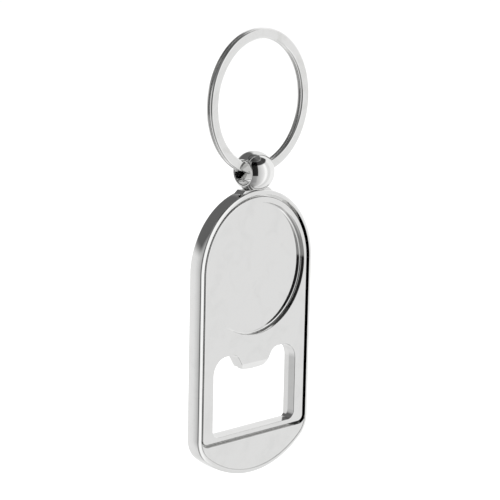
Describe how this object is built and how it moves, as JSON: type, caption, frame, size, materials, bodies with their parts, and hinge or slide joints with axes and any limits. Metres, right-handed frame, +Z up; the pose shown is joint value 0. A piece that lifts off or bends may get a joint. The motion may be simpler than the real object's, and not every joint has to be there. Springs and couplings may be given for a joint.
{
  "type": "keychain bottle opener",
  "caption": "Flat keychain bottle opener: round-topped casing, inset plate with label recess and toothed opening, hung from a split ring by a turning ball.",
  "frame": {"origin": "on the inside of the split ring, straight above the axis that the ball turns on", "axes": "+Z up along the hanging opener's length, +X across its width, -Y out of its front face"},
  "size_m": [0.0358, 0.0094, 0.1025],
  "materials": {
    "ring_steel": "polished nickel plate",
    "ball_chrome": "mirror polish",
    "rivet_steel": "plated steel",
    "casing_chrome": "mirror polish",
    "plate_chrome": "mirror polish",
    "adhesive": "cured film"
  },
  "bodies": {
    "key_ring": {"split_ring": "ring_steel"},
    "ball": {"swivel_ball": "ball_chrome"},
    "opener": {"swivel_rivet": "rivet_steel", "frame": "casing_chrome", "opener_plate": "plate_chrome", "plate_adhesive": "adhesive"}
  },
  "joints": [
    {"name": "ring_swing", "type": "hinge", "parent": "key_ring", "child": "ball", "pos_m": [0, 0, -0.02926], "axis": [1, 0, 0], "range_deg": [-120, 120]},
    {"name": "ball_turn", "type": "hinge", "parent": "ball", "child": "opener", "pos_m": [0, 0, -0.03371], "axis": [0, 0, 1], "continuous": true}
  ]
}
